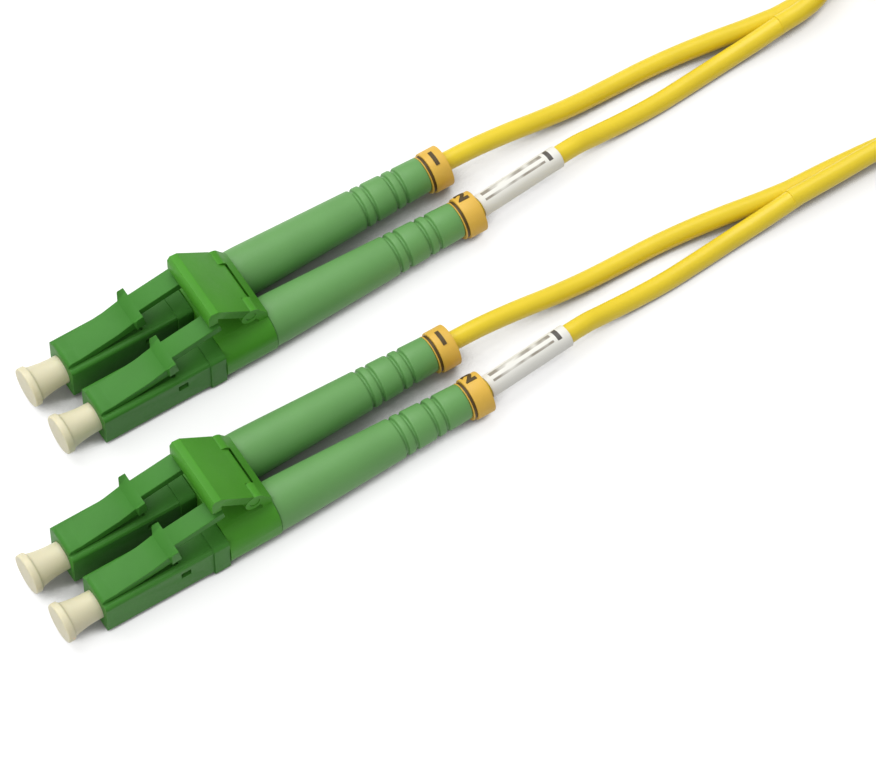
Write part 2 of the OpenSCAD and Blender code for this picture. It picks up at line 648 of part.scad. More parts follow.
// Least distance between the corners of two stretches of the coil at least half a turn apart
function least_gap() = min([for (i = [0 : len(coil_rings) - 1])
    for (j = [i + RINGS_PER_TURN / 2 : 1 : len(coil_rings) - 1])
        if (norm(coil_route[i] - coil_route[j]) < layer_step + 1)
            min([for (a = coil_rings[i], b = coil_rings[j]) norm(a - b)])]);

module cord_coil() {
    echo(least_gap_mm = least_gap());
    echo(cord_length_mm = route_length(coil_route) + route_length(LEG_A) * 2
         + route_length([for (q = ZIP_1) [q[0], q[1], q[2]]]) + route_length([for (q = ZIP_2) [q[0], q[1], q[2]]]));
    color(CORD_YELLOW) sweep(coil_rings);
}

TIE_ANGLES = [25, 205];
tie_r = 0.65;             // inner corner radius of a tie
tie_clear = 0.35;         // between a tie and the turns, in the plane of the coil
module coil_ties() color(TIE_BLACK)
    for (a = TIE_ANGLES) {
        passes = [for (k = [-1 : ceil(turns)]) let (t = (RUN_IN - a) / 360 + k) if (t >= 0 && t <= turns) coil_radius(t)];
        r0 = min(passes) - jacket_d / 2 - tie_clear;
        r1 = max(passes) + jacket_d / 2 + tie_clear;
        high = coil_high_z + twin_w / 2 + 0.1;
        span = tie_w / ((r0 + r1) / 2) * 180 / PI;
        translate([COIL_MIDDLE[0], COIL_MIDDLE[1], 0]) rotate([0, 0, a - span / 2])
            rotate_extrude(angle = span) difference() {
                translate([(r0 + r1) / 2, (tie_t + high) / 2])
                    round_rect(r1 - r0 + 2 * tie_t, high + tie_t, tie_r + tie_t);
                translate([(r0 + r1) / 2, (tie_t + high) / 2])
                    round_rect(r1 - r0, high - tie_t, tie_r);
            }
    }

// ---------------------------------------------------------------- places

module at_end(e) translate([end_place(e)[0], end_place(e)[1], axis_z]) children();
module at_plug(e, c) at_end(e) translate([0, channel_y(c), 0]) children();

for (e = ENDS, c = CHANNELS) {
    at_plug(e, c) housing();
    at_plug(e, c) latch();
    at_plug(e, c) ferrule();
    at_plug(e, c) flange();
    at_plug(e, c) spring();
    at_plug(e, c) rear_body();
    at_plug(e, c) crimp_sleeve();
    at_plug(e, c) boot();
    at_plug(e, c) dust_cap();
    at_plug(e, c) marker_ring();
    at_plug(e, c) fibre();
    cord_leg(e, c);
}
for (e = ENDS) {
    at_end(e) clip_body();
    at_end(e) trigger();
    label(e);
}
zip_cord(ZIP_1, [1, 0, 0], clockwise(RUN_IN));  // zip_cord_1
zip_cord(ZIP_2, [1, 0, 0], -clockwise(-RUN_IN));  // zip_cord_2
cord_coil();
coil_ties();
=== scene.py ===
import math

import bmesh
import bpy
from mathutils import Matrix, Vector


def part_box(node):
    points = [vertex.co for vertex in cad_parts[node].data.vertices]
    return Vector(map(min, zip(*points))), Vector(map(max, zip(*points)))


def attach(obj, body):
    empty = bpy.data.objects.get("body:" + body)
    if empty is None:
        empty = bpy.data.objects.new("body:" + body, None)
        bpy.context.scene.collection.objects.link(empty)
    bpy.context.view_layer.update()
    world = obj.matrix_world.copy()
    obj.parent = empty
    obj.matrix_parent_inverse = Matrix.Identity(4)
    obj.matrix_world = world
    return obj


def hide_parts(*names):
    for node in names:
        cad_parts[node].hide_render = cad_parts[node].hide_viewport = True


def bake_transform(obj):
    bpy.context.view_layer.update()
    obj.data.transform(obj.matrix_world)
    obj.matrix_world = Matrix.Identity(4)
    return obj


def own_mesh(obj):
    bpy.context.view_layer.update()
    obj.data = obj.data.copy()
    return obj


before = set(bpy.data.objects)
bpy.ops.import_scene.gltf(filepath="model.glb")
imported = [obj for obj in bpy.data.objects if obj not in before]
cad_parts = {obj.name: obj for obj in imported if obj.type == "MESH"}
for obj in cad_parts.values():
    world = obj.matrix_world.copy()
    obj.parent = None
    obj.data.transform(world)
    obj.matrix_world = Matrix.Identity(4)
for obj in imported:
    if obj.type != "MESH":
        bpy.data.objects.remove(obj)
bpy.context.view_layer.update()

ENDS = ("1", "2")
CHANNELS = ("a", "b")
PLUGS = [end + channel for end in ENDS for channel in CHANNELS]
MM = 0.001


# ---------------------------------------------------------------- camera
# A long lens looks down on the two plug pairs from their front left. The plugs fill the left of
# the picture, and the cords run out at its right.
PICTURE = (876, 768)
CAMERA_TURN = math.radians(-32.2)
CAMERA_TILT = math.radians(61.0)
CAMERA_FAR = 600 * MM
CAMERA_AIM = Vector((16.5, -7.5, -0.8)) * MM
PIXELS_PER_RADIAN = 6072

look = Vector((-math.sin(CAMERA_TURN) * math.cos(CAMERA_TILT),
               math.cos(CAMERA_TURN) * math.cos(CAMERA_TILT), -math.sin(CAMERA_TILT)))
camera_data = bpy.data.cameras.new("camera")
camera_data.sensor_width = 36
camera_data.lens = PIXELS_PER_RADIAN * camera_data.sensor_width / PICTURE[0]
camera_data.clip_start = 0.01
camera_data.clip_end = 20
camera = bpy.data.objects.new("camera", camera_data)
camera.location = CAMERA_AIM - look * CAMERA_FAR
camera.rotation_euler = look.to_track_quat("-Z", "Y").to_euler()
bpy.context.scene.collection.objects.link(camera)
bpy.context.scene.camera = camera


# ---------------------------------------------------------------- cord legs
# Behind each boot the cord is a single round jacket of yellow PVC, 2 mm thick, pulled apart from
# its twin. Each leg hangs down from its ring and lies on the table up to the place of the split.
JACKET_D = 2.0 * MM
PAIR_STEP = Vector((10.4, 17.8, 0))
LEGS = {
    "a": [(29.45, 12.025, 2.65), (33, 12.0, 2.5), (37, 11.85, 2.1), (41, 11.6, 1.6), (45, 11.45, 1.2),
          (49, 11.4, 1.02), (53, 11.3, 1.02), (57, 11.0, 1.02), (61, 10.5, 1.02), (64.5, 9.95, 1.02),
          (68, 9.504, 1.02)],
    "b": [(29.45, 5.775, 2.65), (29.7, 5.8, 2.65), (35.2, 6.3, 2.5), (41.3, 6.855, 2.334), (44, 7.05, 1.8),
          (48, 7.15, 1.25), (52, 7.25, 1.02), (56, 7.5, 1.02), (60, 7.75, 1.15), (64, 7.8, 1.72),
          (68, 7.896, 2.37)],
}
JACKET_YELLOW = (0.79, 0.60, 0.021, 1)
SHARP = math.radians(38)
GRAIN_DEPTH = 0.012 * MM
SOFT_DEPTH = 0.6 * MM


def through(points, steps=5):
    """A smooth line through the points, with a few steps in each span."""
    p = [Vector(q) for q in points]
    p = [2 * p[0] - p[1]] + p + [2 * p[-1] - p[-2]]
    line = []
    for a, b, c, d in zip(p, p[1:], p[2:], p[3:]):
        for k in range(steps):
            t = k / steps
            line.append(0.5 * (2 * b + (c - a) * t + (2 * a - 5 * b + 4 * c - d) * t * t
                               + (3 * b - a - 3 * c + d) * t * t * t))
    return line + [p[-2].copy()]


def tube(name, line, section, tilts=None):
    """A mesh swept along a line. The section is a diameter, or a closed list of points."""
    data = bpy.data.curves.new(name, "CURVE")
    data.dimensions = "3D"
    data.twist_mode = "Z_UP"
    data.use_fill_caps = True
    spline = data.splines.new("POLY")
    spline.points.add(len(line) - 1)
    for k, (point, place) in enumerate(zip(spline.points, line)):
        point.co = (*place, 1)
        point.tilt = tilts[k] if tilts else 0
    helper = None
    if isinstance(section, float):
        data.bevel_depth = section / 2
        data.bevel_resolution = 6
    else:
        outline = bpy.data.curves.new("outline", "CURVE")
        ring = outline.splines.new("POLY")
        ring.points.add(len(section) - 1)
        for point, place in zip(ring.points, section):
            point.co = (*place, 0, 1)
        ring.use_cyclic_u = True
        helper = bpy.data.objects.new("outline", outline)
        bpy.context.scene.collection.objects.link(helper)
        data.bevel_mode = "OBJECT"
        data.bevel_object = helper
    rough = bpy.data.objects.new("rough", data)
    bpy.context.scene.collection.objects.link(rough)
    bpy.context.view_layer.update()
    mesh = bpy.data.meshes.new_from_object(rough.evaluated_get(bpy.context.evaluated_depsgraph_get()))
    bpy.data.objects.remove(rough)
    if helper:
        bpy.data.objects.remove(helper)
    bm = bmesh.new()
    bm.from_mesh(mesh)
    bmesh.ops.remove_doubles(bm, verts=bm.verts, dist=1e-7)
    bmesh.ops.recalc_face_normals(bm, faces=bm.faces)
    return add_piece(name, bm)


def add_piece(name, bm, smooth=True):
    """Puts a finished bmesh in the scene as an object at the origin."""
    mesh = bpy.data.meshes.new(name)
    bm.to_mesh(mesh)
    bm.free()
    if smooth:
        mesh.polygons.foreach_set("use_smooth", [True] * len(mesh.polygons))
        mesh.set_sharp_from_angle(angle=SHARP)
    piece = bpy.data.objects.new(name, mesh)
    bpy.context.scene.collection.objects.link(piece)
    return piece


def moulded(name, colour, rough=0.4, grain=0.35, mottle=0.12, scale=900, soft=0.0, shine=0.5, metal=0.0):
    """A solid colour with faint mottling, uneven gloss and a fine grain: plastic, ceramic or metal."""
    material = bpy.data.materials.new(name)
    material.use_nodes = True
    nodes, links = material.node_tree.nodes, material.node_tree.links
    shader = nodes["Principled BSDF"]
    shader.inputs["Specular IOR Level"].default_value = shine
    shader.inputs["Metallic"].default_value = metal
    place = nodes.new("ShaderNodeTexCoord").outputs["Object"]
    cloud = nodes.new("ShaderNodeTexNoise")
    cloud.inputs["Scale"].default_value = scale * 0.35
    cloud.inputs["Detail"].default_value = 4
    links.new(place, cloud.inputs["Vector"])
    tint = nodes.new("ShaderNodeMix")
    tint.data_type = "RGBA"
    tint.inputs["A"].default_value = [c * (1 - mottle) for c in colour[:3]] + [1]
    tint.inputs["B"].default_value = [min(1, c * (1 + mottle)) for c in colour[:3]] + [1]
    links.new(cloud.outputs["Fac"], tint.inputs["Factor"])
    links.new(tint.outputs["Result"], shader.inputs["Base Color"])
    speck = nodes.new("ShaderNodeTexNoise")
    speck.inputs["Scale"].default_value = scale * 4
    speck.inputs["Detail"].default_value = 5
    links.new(place, speck.inputs["Vector"])
    gloss = nodes.new("ShaderNodeMapRange")
    gloss.inputs["To Min"].default_value = max(0, rough - 0.1)
    gloss.inputs["To Max"].default_value = rough + 0.1
    links.new(speck.outputs["Fac"], gloss.inputs["Value"])
    links.new(gloss.outputs["Result"], shader.inputs["Roughness"])
    bump = nodes.new("ShaderNodeBump")
    bump.inputs["Strength"].default_value = grain
    bump.inputs["Distance"].default_value = GRAIN_DEPTH
    links.new(speck.outputs["Fac"], bump.inputs["Height"])
    links.new(bump.outputs["Normal"], shader.inputs["Normal"])
    if soft:
        shader.inputs["Subsurface Weight"].default_value = soft
        shader.inputs["Subsurface Scale"].default_value = SOFT_DEPTH
        shader.inputs["Subsurface Radius"].default_value = (1.0, 0.9, 0.6)
    return material


def dress(piece, material, body="root", stands_for=()):
    """Gives a piece its material and slot, and lets it ride in place of its CAD nodes."""
    piece.data.materials.clear()
    piece.data.materials.append(material)
    if body:
        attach(piece, body)
    if stands_for:
        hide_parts(*stands_for)
    return piece


jacket_yellow = moulded("jacket_yellow", JACKET_YELLOW, rough=0.36, grain=0.25, mottle=0.07, scale=700,
                        soft=0.08)
legs, leg_lines = {}, {}
for plug in PLUGS:
    shift = Vector() if plug[0] == "1" else PAIR_STEP
    leg_lines[plug] = [p * MM for p in through([Vector(q) - shift for q in LEGS[plug[1]]])]
    legs[plug] = dress(tube(f"leg_{plug}", leg_lines[plug], JACKET_D), jacket_yellow,
                       stands_for=[f"cord_leg_{plug}"])


# ---------------------------------------------------------------- label sleeves
# A thin white film sleeve is shrunk on the near leg of each pair, close to the marker ring. It
# carries two worn ruled lines and one dark bar, and no words.
LABEL_LENGTH = 9.9 * MM
LABEL_D = 2.4 * MM
LABEL_MARGIN = 0.1 * MM
LABEL_STEPS = 12
FILM_WHITE = (0.80, 0.79, 0.73, 1)
LINE_INK = (0.30, 0.27, 0.22, 1)
BAR_INK = (0.09, 0.08, 0.07, 1)
LINE_LOW_EDGES = (-0.40 * MM, -0.15 * MM)
LINE_HIGH_EDGES = (0.30 * MM, 0.75 * MM)
LINE_ENDS = (-4.3 * MM, 3.2 * MM)
BAR_ENDS = (3.6 * MM, 4.1 * MM)
BAR_EDGES = (-0.5 * MM, 0.9 * MM)
WEAR_SCALE = 520
WEAR_FADE = (0.32, 0.54)


def printed_film(name, centre, along):
    """White film with two worn ruled lines along the sleeve and a dark bar at its end."""
    material = moulded(name, FILM_WHITE, rough=0.42, grain=0.2, mottle=0.04)
    nodes, links = material.node_tree.nodes, material.node_tree.links
    shader = nodes["Principled BSDF"]
    ground = shader.inputs["Base Color"].links[0].from_socket
    place = nodes.new("ShaderNodeMapping")
    place.vector_type = "TEXTURE"
    place.inputs["Location"].default_value = centre
    place.inputs["Rotation"].default_value = (0, 0, math.atan2(along.y, along.x))
    links.new(nodes.new("ShaderNodeTexCoord").outputs["Object"], place.inputs["Vector"])
    axes = nodes.new("ShaderNodeSeparateXYZ")
    links.new(place.outputs["Vector"], axes.inputs["Vector"])
    wear = nodes.new("ShaderNodeTexNoise")
    wear.inputs["Scale"].default_value = WEAR_SCALE
    wear.inputs["Detail"].default_value = 1
    links.new(place.outputs["Vector"], wear.inputs["Vector"])
    fade = nodes.new("ShaderNodeMapRange")
    fade.inputs["From Min"].default_value, fade.inputs["From Max"].default_value = WEAR_FADE
    links.new(wear.outputs["Fac"], fade.inputs["Value"])

    def band(socket, low, high):
        """1 between two limits, and 0 outside them."""
        inside = nodes.new("ShaderNodeMath")
        inside.operation = "COMPARE"
        inside.inputs[1].default_value = (low + high) / 2
        inside.inputs[2].default_value = (high - low) / 2
        links.new(socket, inside.inputs[0])
        return inside.outputs["Value"]

    def both(a, b, operation="MULTIPLY"):
        joined = nodes.new("ShaderNodeMath")
        joined.operation = operation
        joined.use_clamp = True
        links.new(a, joined.inputs[0])
        links.new(b, joined.inputs[1])
        return joined.outputs["Value"]

    lines = both(band(axes.outputs["Y"], *LINE_LOW_EDGES), band(axes.outputs["Y"], *LINE_HIGH_EDGES), "ADD")
    worn = both(lines, fade.outputs["Result"])
    lines = both(worn, band(axes.outputs["X"], *LINE_ENDS))
    bar = both(band(axes.outputs["X"], *BAR_ENDS), band(axes.outputs["Y"], *BAR_EDGES))
    for mask, ink in ((lines, LINE_INK), (bar, BAR_INK)):
        paint = nodes.new("ShaderNodeMix")
        paint.data_type = "RGBA"
        links.new(mask, paint.inputs["Factor"])
        links.new(ground, paint.inputs["A"])
        paint.inputs["B"].default_value = ink
        ground = paint.outputs["Result"]
    links.new(ground, shader.inputs["Base Color"])
    return material


for end in ENDS:
    low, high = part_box(f"label_{end}")
    covered = [p for p in leg_lines[end + "b"] if low.x + LABEL_MARGIN < p.x < high.x - LABEL_MARGIN]
    along = (covered[-1] - covered[0]).normalized()
    centre = (low + high) / 2
    sleeve = [centre + along * LABEL_LENGTH * (k / LABEL_STEPS - 0.5) for k in range(LABEL_STEPS + 1)]
    film = tube(f"label_film_{end}", sleeve, LABEL_D)
    dress(film, printed_film(f"label_film_{end}", centre, along),
                        stands_for=[f"label_{end}"])


# ---------------------------------------------------------------- twin cord
# The two jackets stay joined by a thin web from the split on. The twin cord turns on edge and is
# wound into a neat round coil of two layers, and comes out again to the other plug pair.
TWIN_PITCH = 2.1 * MM
WEB_T = 0.7 * MM
ZIPS = {
    "1": [(68, 8.7, 1.695, -40), (70, 8.75, 1.77, -44), (72, 9.1, 1.84, -50), (74.5, 10.2, 1.97, -60),
          (77, 12.1, 2.15, -70), (80, 14.8, 2.4, -80), (82.2, 16.6, 2.6, -87), (83.94, 17.76, 2.65, -90)],
    "2": [(57.6, -9.1, 1.695, -40), (62, -9.2, 1.78, -46), (66, -9.35, 1.92, -55), (69, -9.6, 2.12, -62),
          (72, -10.1, 2.7, -68), (75, -10.95, 3.9, -74), (78, -12.15, 5.5, -80), (81, -13.5, 6.8, -86),
          (83.94, -14.96, 7.2, -90)],
}
COIL_MIDDLE = Vector((98, 1.4))
COIL_R = 21.2
COIL_TILT = 90
COIL_TURNS = 8
RUN_IN = 120
TURN_STEP = 2.45
LAYER_STEP = 4.55
COIL_LOW_Z = 2.65
CLIMB = 0.4
RINGS_PER_TURN = 48
SPLIT_BACK = 1.0
SKIN = 0.01 * MM
JACKET_FACETS = 14

# the cord comes in at this angle and leaves at the same angle on the other side
turns = COIL_TURNS + RUN_IN / 180


def coil_place(t):
    """The cord's middle after t turns, in millimetres."""
    radius = COIL_R - TURN_STEP * min(t, turns - t)
    angle = math.radians(RUN_IN - 360 * t)
    rise = min(max((t - turns / 2) / CLIMB + 0.5, 0), 1)
    return Vector((COIL_MIDDLE.x + radius * math.cos(angle), COIL_MIDDLE.y + radius * math.sin(angle),
                   COIL_LOW_Z + LAYER_STEP * rise * rise * (3 - 2 * rise)))


def with_tilt(points):
    """A smooth line through [x, y, z, tilt], as places and tilts."""
    places = through([p[:3] for p in points])
    tilts = through([(p[3], 0, 0) for p in points])
    return list(zip(places, [t.x for t in tilts]))


def from_split(points):
    """A zip's line and tilts, begun a little ahead of its first point to cover the legs' ends."""
    line = with_tilt(points)
    return [(line[0][0] - Vector((SPLIT_BACK, 0, 0)), line[0][1])] + line


coil_steps = round(turns * RINGS_PER_TURN)
coil = [(coil_place(k * turns / coil_steps), COIL_TILT) for k in range(coil_steps + 1)]
way_in = [(place, 180 + tilt) for place, tilt in from_split(ZIPS["1"])]
way_out = [(place, -tilt) for place, tilt in reversed(from_split(ZIPS["2"]))]
twin_line = [place * MM for place, tilt in way_in + coil + way_out]
twin_tilt = [math.radians(tilt) for place, tilt in way_in + coil + way_out]

# section: two round jackets with a web between them
web_half = WEB_T / 2
jacket_r = JACKET_D / 2 + SKIN
bite = math.asin(web_half / jacket_r)
jacket_arc = [-math.pi + bite + k * (2 * math.pi - 2 * bite) / JACKET_FACETS
              for k in range(JACKET_FACETS + 1)]
right = [(TWIN_PITCH / 2 + jacket_r * math.cos(a), jacket_r * math.sin(a)) for a in jacket_arc]
twin_section = right + [(-x, -y) for x, y in right]
twin = tube("twin_cord", twin_line, twin_section, twin_tilt)
dress(twin, jacket_yellow, stands_for=["zip_cord_1", "zip_cord_2", "cord_coil"])


# ---------------------------------------------------------------- coil ties
# Two black hook-and-loop straps go round the coil on opposite sides. Each strap laps over itself
# on top, where its hooks hold in its own loops.
TIE_ANGLES = (25, 205)
TIE_W = 6 * MM
TIE_T = 0.55 * MM
TIE_CORNER = 1.0 * MM
TIE_CORNER_STEPS = 6
TIE_SKIN = 0.04 * MM
TIE_CLEAR = 1.35 * MM
TIE_TOP = 2.15
TIE_START = 0.55
TIE_STOP = 0.62
LAP_FROM = 0.45
LAP_NEAR = 0.6 * MM
LAP_FAR = 1.6 * MM
LAP_FOOT = 0.3 * MM
LAP_RISE = 0.7
TIE_BLACK = (0.028, 0.028, 0.032, 1)
WEAVE_SCALE = 4200
WEAVE_DEPTH = 0.08 * MM


def strap_outline(r0, r1, low, high):
    """The strap's edge-on outline in radius and height: once round the turns, then a lap on top."""
    def loop(grow, start, stop):
        inner, outer, bottom, top = r0 - grow, r1 + grow, low - grow, high + grow
        corner = TIE_CORNER + grow
        path = [(start * outer + (1 - start) * inner, top)]
        for cx, cz, turn in ((inner + corner, top - corner, 90), (inner + corner, bottom + corner, 180),
                             (outer - corner, bottom + corner, 270), (outer - corner, top - corner, 0)):
            path += [(cx + corner * math.cos(math.radians(turn + 15 * k)),
                      cz + corner * math.sin(math.radians(turn + 15 * k)))
                     for k in range(TIE_CORNER_STEPS + 1)]
        return path + [(stop * outer + (1 - stop) * inner, top)]

    under = loop(0, TIE_START, TIE_STOP)
    over = loop(TIE_T, TIE_START, TIE_STOP)
    lap_from = (r1 - r0) * LAP_FROM + r0
    lap = [(lap_from + LAP_NEAR, high + TIE_T + TIE_SKIN), (lap_from - LAP_FAR, high + TIE_T + TIE_SKIN)]
    lap_top = [(x, z + TIE_T) for x, z in reversed(lap)]
    step_up = [(under[-1][0] - LAP_FOOT, high + TIE_SKIN * 0.5),
               (lap_from + LAP_FAR, high + TIE_T * LAP_RISE)]
    return under + step_up + lap + lap_top + over[::-1]


def woven(name, colour):
    """Black loop fabric: a fuzz of fine loops over a coarse weave."""
    material = moulded(name, colour, rough=0.85, grain=1.0, mottle=0.35, scale=2600)
    nodes, links = material.node_tree.nodes, material.node_tree.links
    shader = nodes["Principled BSDF"]
    shader.inputs["Sheen Weight"].default_value = 0.5
    shader.inputs["Specular IOR Level"].default_value = 0.25
    cells = nodes.new("ShaderNodeTexVoronoi")
    cells.inputs["Scale"].default_value = WEAVE_SCALE
    links.new(nodes.new("ShaderNodeTexCoord").outputs["Object"], cells.inputs["Vector"])
    loops = nodes.new("ShaderNodeBump")
    loops.inputs["Strength"].default_value = 0.8
    loops.inputs["Distance"].default_value = WEAVE_DEPTH
    links.new(cells.outputs["Distance"], loops.inputs["Height"])
    links.new(shader.inputs["Normal"].links[0].from_socket, loops.inputs["Normal"])
    links.new(loops.outputs["Normal"], shader.inputs["Normal"])
    return material


tie_black = woven("tie_black", TIE_BLACK)
for number, angle in enumerate(TIE_ANGLES, 1):
    crossings = [t for t in ((RUN_IN - angle) / 360 + k for k in range(-1, 10)) if 0 <= t <= turns]
    radii = [(coil_place(t).xy - COIL_MIDDLE).length * MM for t in crossings]
    r0, r1 = min(radii) - TIE_CLEAR, max(radii) + TIE_CLEAR
    top = (COIL_LOW_Z + LAYER_STEP + TIE_TOP) * MM
    span = TIE_W / ((r0 + r1) / 2)
    bm = bmesh.new()
    outline = [bm.verts.new((r, 0, z)) for r, z in strap_outline(r0, r1, TIE_T, top)]
    bm.faces.new(outline)
    middle = Matrix.Translation((COIL_MIDDLE.x * MM, COIL_MIDDLE.y * MM, 0))
    turn = Matrix.Rotation(math.radians(angle) - span / 2, 4, "Z")
    bmesh.ops.transform(bm, matrix=middle @ turn, verts=bm.verts)
    bmesh.ops.spin(bm, geom=bm.verts[:] + bm.edges[:] + bm.faces[:], cent=middle.translation, axis=(0, 0, 1),
                   dvec=(0, 0, 0), angle=span, steps=6, use_merge=False, use_duplicate=False)
    bmesh.ops.recalc_face_normals(bm, faces=bm.faces)
    dress(add_piece(f"tie_{number}", bm), tie_black, stands_for=["coil_ties"])


# ---------------------------------------------------------------- marker rings
# Each leg carries a short ochre ring pushed up against the boot. A dark brown line in the groove
# behind its front rim is painted shade, and the number of its channel stands on top.
RING_OCHRE = (0.74, 0.45, 0.060, 1)
# one dark brown for the printed numbers and for the painted shade in the ring's groove
RING_BROWN = (0.075, 0.045, 0.008, 1)
RING_GROOVE = 0.3 * MM
RING_BORE_R = 1.4 * MM
RING_ROUND = 0.1 * MM
SHADE_LINE_LAP = 0.03 * MM
SHADE_LINE_ROUND = 0.02 * MM
NUMBER_SIZE = 2.3 * MM
NUMBER_THICK = 0.04 * MM
NUMBER_BOLD = 0.10 * MM
NUMBER_EDGE = 0.3 * MM
NUMBER_ALONG = 0.56
NUMBER_UP = 0.02 * MM
NUMBER_TURN = {"a": 0, "b": math.radians(36)}


def front_middle(low, high):
    """The middle of a box's low x face."""
    return Vector((low.x, (low.y + high.y) / 2, (low.z + high.z) / 2))


def turned_piece(name, axis_point, profile, corner, steps=72):
    """A solid of revolution round a line along X. The profile is a closed list of (x, radius)."""
    bm = bmesh.new()
    bm.faces.new([bm.verts.new((x, 0, r)) for x, r in profile])
    soft = [v for v in bm.verts if v.co.z > 1e-6]
    bmesh.ops.bevel(bm, geom=soft, offset=corner, offset_type="OFFSET", affect="VERTICES", segments=3,
                    profile=0.5, material=-1, clamp_overlap=True)
    bmesh.ops.delete(bm, geom=bm.faces[:], context="FACES_ONLY")
    on_axis = [e for e in bm.edges if all(v.co.z < 1e-6 for v in e.verts)]
    bmesh.ops.delete(bm, geom=on_axis, context="EDGES")
    bmesh.ops.spin(bm, geom=bm.verts[:] + bm.edges[:], cent=(0, 0, 0), axis=(1, 0, 0), dvec=(0, 0, 0),
                   angle=2 * math.pi, steps=steps, use_merge=True, use_duplicate=False)
    bmesh.ops.remove_doubles(bm, verts=bm.verts, dist=1e-7)
    bmesh.ops.recalc_face_normals(bm, faces=bm.faces)
    bmesh.ops.translate(bm, verts=bm.verts, vec=axis_point)
    return add_piece(name, bm)


ring_ochre = moulded("ring_ochre", RING_OCHRE, rough=0.5, grain=0.4, mottle=0.14)
ring_ink_and_painted_shade = moulded("ring_ink_and_painted_shade", RING_BROWN, rough=0.55, grain=0.2)
for plug in PLUGS:
    low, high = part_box(f"marker_ring_{plug}")
    centre = front_middle(low, high)
    length, radius = high.x - low.x, (high.z - low.z) / 2
    rim = RING_GROOVE / 2
    profile = [(0, RING_BORE_R), (0, radius - rim), (rim, radius - rim), (rim, radius - 2 * rim),
               (rim + RING_GROOVE, radius - 2 * rim), (rim + RING_GROOVE, radius), (length, radius),
               (length, RING_BORE_R)]
    dress(turned_piece(f"ring_{plug}", centre, profile, RING_ROUND), ring_ochre,
          stands_for=[f"marker_ring_{plug}"])
    # painted shade: a dark brown band laid in the groove stands in for the shade there
    line_from, line_to = rim - SHADE_LINE_LAP, rim + RING_GROOVE + SHADE_LINE_LAP
    line = [(line_from, radius - 3 * rim), (line_from, radius - 1.5 * rim),
            (line_to, radius - 1.5 * rim), (line_to, radius - 3 * rim)]
    dress(turned_piece(f"ring_groove_painted_shade_{plug}", centre, line, SHADE_LINE_ROUND), ring_ink_and_painted_shade)

    text = bpy.data.curves.new("number", "FONT")
    text.body = "1" if plug[1] == "a" else "2"
    text.size = NUMBER_SIZE
    text.extrude = NUMBER_THICK
    text.offset = NUMBER_BOLD
    text.resolution_u = 6
    text.align_x = text.align_y = "CENTER"
    written = bpy.data.objects.new("number", text)
    bpy.context.scene.collection.objects.link(written)
    bpy.context.view_layer.update()
    mesh = bpy.data.meshes.new_from_object(written.evaluated_get(bpy.context.evaluated_depsgraph_get()))
    bpy.data.objects.remove(written)
    bm = bmesh.new()
    bm.from_mesh(mesh)
    bmesh.ops.subdivide_edges(bm, edges=[e for e in bm.edges if e.calc_length() > NUMBER_EDGE], cuts=4,
                              use_grid_fill=True)
    for vert in bm.verts:
        angle, up = vert.co.y / radius + NUMBER_TURN[plug[1]], radius + vert.co.z + NUMBER_UP
        along = vert.co.x + length * NUMBER_ALONG
        vert.co = centre + Vector((along, up * math.sin(angle), up * math.cos(angle)))
    dress(add_piece(f"number_{plug}", bm, smooth=False), ring_ink_and_painted_shade)


# ---------------------------------------------------------------- boots
# Each boot is a soft green sleeve that tapers from the clip to the cord. Two groups of two ring
# grooves are cut near its end.
BOOT_GREEN = (0.128, 0.325, 0.090, 1)
GROOVE_W = 0.42 * MM
GROOVE_DEEP = 0.34 * MM
GROOVE_GAP = 1.15 * MM
GROOVE_GROUPS = (7.0 * MM, 3.4 * MM)
GROOVE_SHAPE = ((-0.5, 0), (-0.32, 1), (0.32, 1), (0.5, 0))
BOOT_STRAIGHT = 1.5 * MM
BOOT_END_R = 1.875 * MM
BOOT_WALL = 0.5 * MM
BOOT_ROUND = 0.16 * MM
BOOT_BORE_FROM = 0.55

boot_green = moulded("boot_green", BOOT_GREEN, rough=0.52, grain=0.5, mottle=0.1, scale=700)
for plug in PLUGS:
    low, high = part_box(f"boot_{plug}")
    front_r, length = (high.z - low.z) / 2, high.x - low.x

    def radius(x):
        """The boot's radius at a way from its front end."""
        t = max(0, x - BOOT_STRAIGHT) / (length - BOOT_STRAIGHT)
        return front_r + (BOOT_END_R - front_r) * t

    profile = [(0, front_r - BOOT_WALL), (0, front_r), (BOOT_STRAIGHT, front_r)]
    for group in GROOVE_GROUPS:
        for side in (-1, 1):
            middle = length - group + side * GROOVE_GAP / 2
            for x, deep in GROOVE_SHAPE:
                place = middle + x * GROOVE_W
                profile.append((place, radius(place) - deep * GROOVE_DEEP))
    profile += [(length, BOOT_END_R), (length, BOOT_END_R - BOOT_WALL),
                (length * BOOT_BORE_FROM, BOOT_END_R - BOOT_WALL)]
    boot = turned_piece(f"boot_{plug}_sleeve", front_middle(low, high), profile, BOOT_ROUND)
    dress(boot, boot_green, stands_for=[f"boot_{plug}"])


# ---------------------------------------------------------------- housings
# The square front body of each plug is moulded in green PBT and holds the ferrule in its bore.
# Its top slopes up at the front into the root of the latch. The clip grips its tail.
HOUSING_GREEN = (0.050, 0.212, 0.026, 1)
FRONT_ROUND = 0.30 * MM
EDGE_ROUND = 0.07 * MM
BORE_R = 1.75 * MM
FRONT_DEPTH = 0.05 * MM
FRONT_SHORTEST = 0.3 * MM
SIDE_SHORTEST = 0.4 * MM
TAIL_LENGTH = 4.0 * MM
FLAT_ANGLE = math.radians(0.6)
EDGE_ANGLE = math.radians(32)


